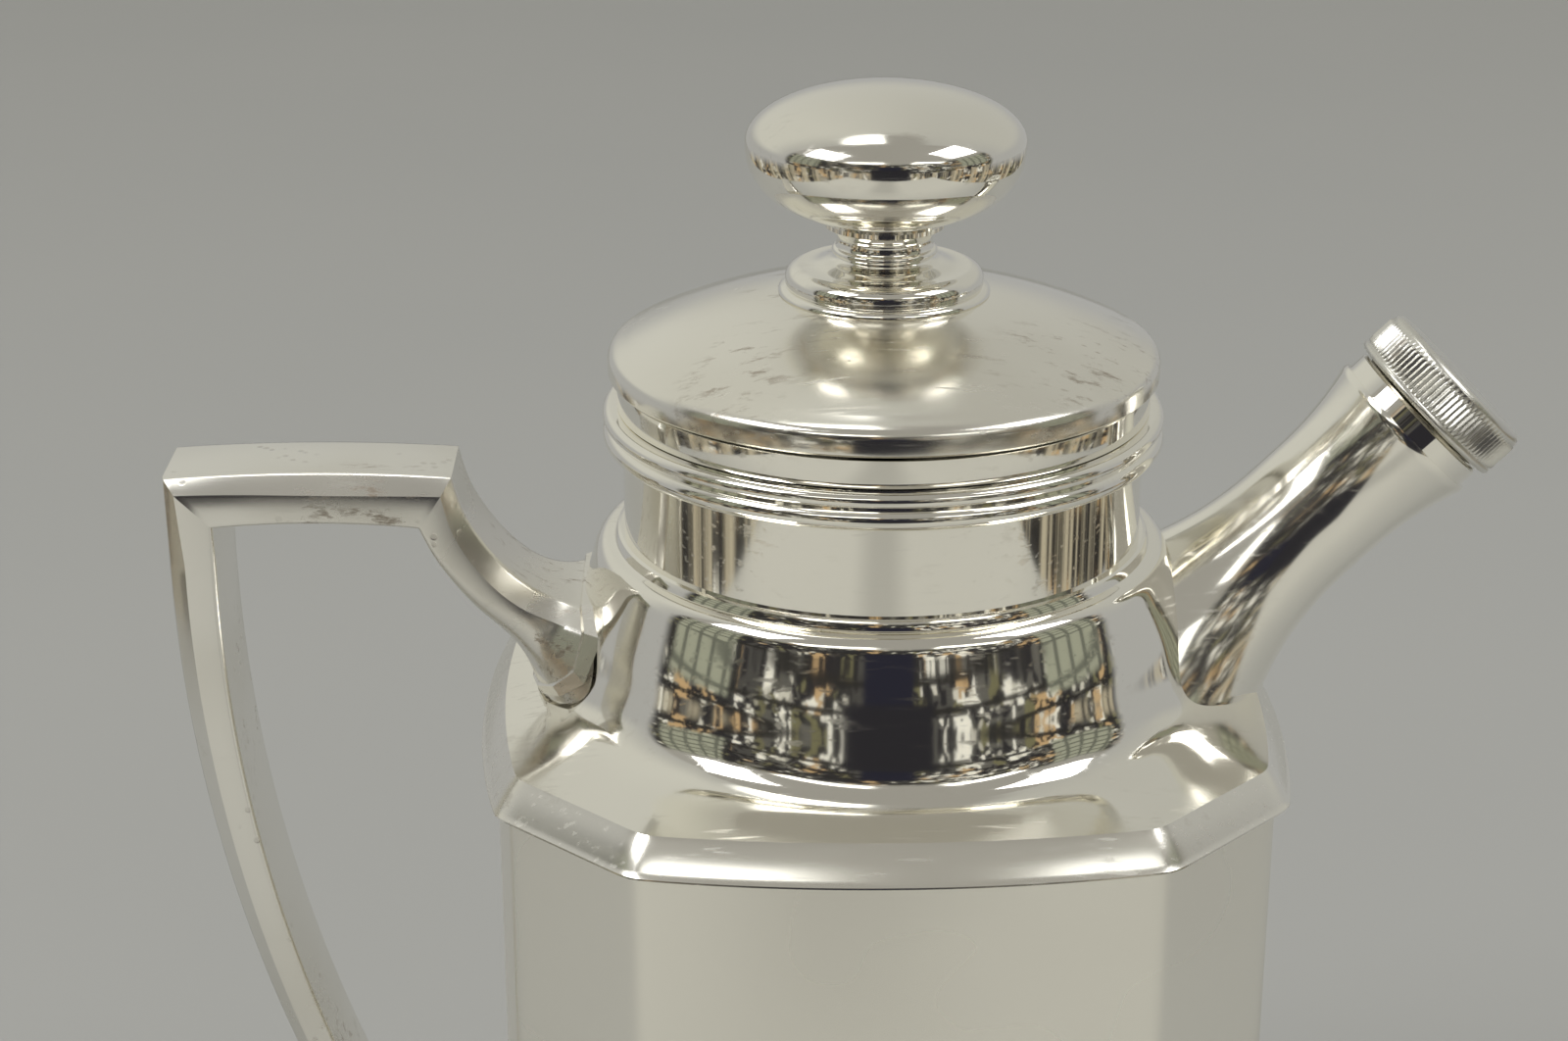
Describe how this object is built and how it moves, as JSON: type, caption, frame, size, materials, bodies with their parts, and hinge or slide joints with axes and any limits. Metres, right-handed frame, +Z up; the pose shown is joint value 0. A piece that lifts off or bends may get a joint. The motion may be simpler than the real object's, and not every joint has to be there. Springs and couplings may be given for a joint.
{
  "type": "coffee pot",
  "caption": "Silver coffee pot: tall eight-sided body under a round shoulder, lift-off domed lid with a knob, hollow angular handle, straight spout with a knurled screw cap.",
  "frame": {"origin": "centre of the foot's flat underside, on the table", "axes": "+Z up along the pot's axis, +X towards the spout, -X towards the handle, -Y towards the viewer when the spout points right"},
  "size_m": [0.2182, 0.1372, 0.2662],
  "materials": {
    "silver_plate": "polished silver plate with fine scratches",
    "silver_satin": "worn satin silver plate",
    "cork": "fine cork"
  },
  "bodies": {
    "pot": {"body_shell": "silver_satin", "shoulder": "silver_plate", "neck_band": "silver_plate", "neck_rim": "silver_plate", "base_plate": "silver_satin", "foot_plinth": "silver_plate", "spout_tube": "silver_plate", "spout_strainer": "silver_satin", "spout_nozzle": "silver_plate", "handle_top_bar": "silver_plate", "handle_grip": "silver_plate", "handle_upper_root": "silver_plate", "handle_upper_seam": "silver_satin", "handle_lower_root": "silver_plate", "handle_lower_seam": "silver_satin"},
    "lid": {"lid_dome": "silver_plate", "lid_band": "silver_plate", "lid_sleeve": "silver_satin", "knob_collar": "silver_plate", "knob_neck": "silver_plate", "knob_bowl": "silver_plate", "knob_crown": "silver_plate", "knob_stud": "silver_satin", "knob_washer": "silver_satin", "knob_nut": "silver_satin"},
    "cap_seal": {"cap_cork": "cork"},
    "cap": {"cap_ring": "silver_plate", "cap_disc": "silver_plate", "cap_liner": "silver_satin"}
  },
  "joints": [
    {"name": "lid_lift", "type": "slide", "parent": "pot", "child": "lid", "axis": [0, 0, 1], "range_m": [0, 0.06]},
    {"name": "cap_rise", "type": "slide", "parent": "pot", "child": "cap_seal", "axis": [0.7071, 0, 0.7071], "range_m": [0, 0.0066]},
    {"name": "cap_turn", "type": "hinge", "parent": "cap_seal", "child": "cap", "pos_m": [0.0852, 0, 0.2095], "axis": [0.7071, 0, 0.7071], "range_deg": [0, 1080]}
  ],
  "couplings": [
    {"joint": "cap_rise", "follows": "cap_turn", "m_per_rad": 0.00035014}
  ]
}
